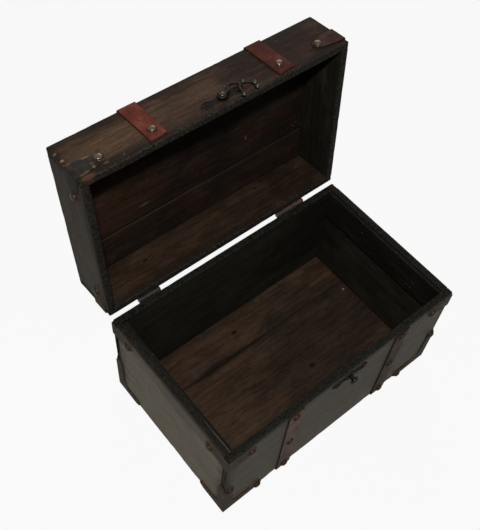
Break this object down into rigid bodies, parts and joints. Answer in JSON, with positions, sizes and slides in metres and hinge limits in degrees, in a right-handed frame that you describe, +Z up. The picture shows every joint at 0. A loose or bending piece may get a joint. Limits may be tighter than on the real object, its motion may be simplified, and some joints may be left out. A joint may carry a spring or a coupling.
{
  "type": "wooden strong box",
  "caption": "Dark wooden strong box with a hinged lid, leather straps and corners, dome nails and a swinging hook latch over a keeper knob.",
  "frame": {"origin": "middle of the wooden underside; the strap soles that the box stands on lie 1.6 mm below it", "axes": "+X to the box's right seen from the front, +Y to the back where the hinges are, +Z up"},
  "size_m": [0.3084, 0.2704, 0.3305],
  "materials": {
    "outer_boards": "dark stained pine, worn edges",
    "inner_boards": "dark stained pine, unpolished",
    "strap_leather": "dark red-brown, worn",
    "corner_leather": "brown, scuffed to tan",
    "nail_heads": "aged silver brass",
    "latch_bronze": "antique bronze plating",
    "hinge_iron": "dark plating, rusting",
    "hinge_pin_steel": "bare steel"
  },
  "bodies": {
    "base": {"base_front_wall": "outer_boards", "base_back_wall": "outer_boards", "base_left_wall": "outer_boards", "base_right_wall": "outer_boards", "floor_board_front": "inner_boards", "floor_board_back": "inner_boards", "left_batten": "inner_boards", "right_batten": "inner_boards", "base_strap_left": "strap_leather", "base_strap_right": "strap_leather", "base_tongue_front_left": "corner_leather", "base_tongue_front_right": "corner_leather", "base_tongue_back_left": "corner_leather", "base_tongue_back_right": "corner_leather", "foot_leather_front_left": "corner_leather", "foot_leather_front_right": "corner_leather", "foot_leather_back_left": "corner_leather", "foot_leather_back_right": "corner_leather", "base_strap_nails": "nail_heads", "base_tongue_nails": "nail_heads", "foot_leather_nails": "nail_heads", "keeper_plate": "latch_bronze", "keeper_knob": "latch_bronze", "keeper_pins": "latch_bronze", "left_hinge_base_leaf": "hinge_iron", "left_hinge_pin": "hinge_pin_steel", "right_hinge_base_leaf": "hinge_iron", "right_hinge_pin": "hinge_pin_steel", "hinge_base_pins": "hinge_iron"},
    "lid": {"lid_front_wall": "outer_boards", "lid_back_wall": "outer_boards", "lid_left_wall": "outer_boards", "lid_right_wall": "outer_boards", "lid_board_front": "inner_boards", "lid_board_back": "inner_boards", "lid_strap_left": "strap_leather", "lid_strap_right": "strap_leather", "lid_tongue_front_left": "corner_leather", "lid_tongue_front_right": "corner_leather", "lid_tongue_back_left": "corner_leather", "lid_tongue_back_right": "corner_leather", "lid_strap_nails": "nail_heads", "lid_tongue_nails": "nail_heads", "left_hinge_lid_leaf": "hinge_iron", "right_hinge_lid_leaf": "hinge_iron", "hinge_lid_pins": "hinge_iron", "latch_plate": "latch_bronze", "latch_rivet": "latch_bronze", "latch_pins": "latch_bronze"},
    "hook": {"latch_hook": "latch_bronze"}
  },
  "joints": [
    {"name": "lid_hinge", "type": "hinge", "parent": "base", "child": "lid", "pos_m": [0, 0.095, 0.13645], "axis": [1, 0, 0], "range_deg": [0, 95.2]},
    {"name": "hook_swing", "type": "hinge", "parent": "lid", "child": "hook", "pos_m": [0.004, 0.1234, 0.32214], "axis": [0, -0.0906, -0.9959], "range_deg": [-60, 82]}
  ]
}
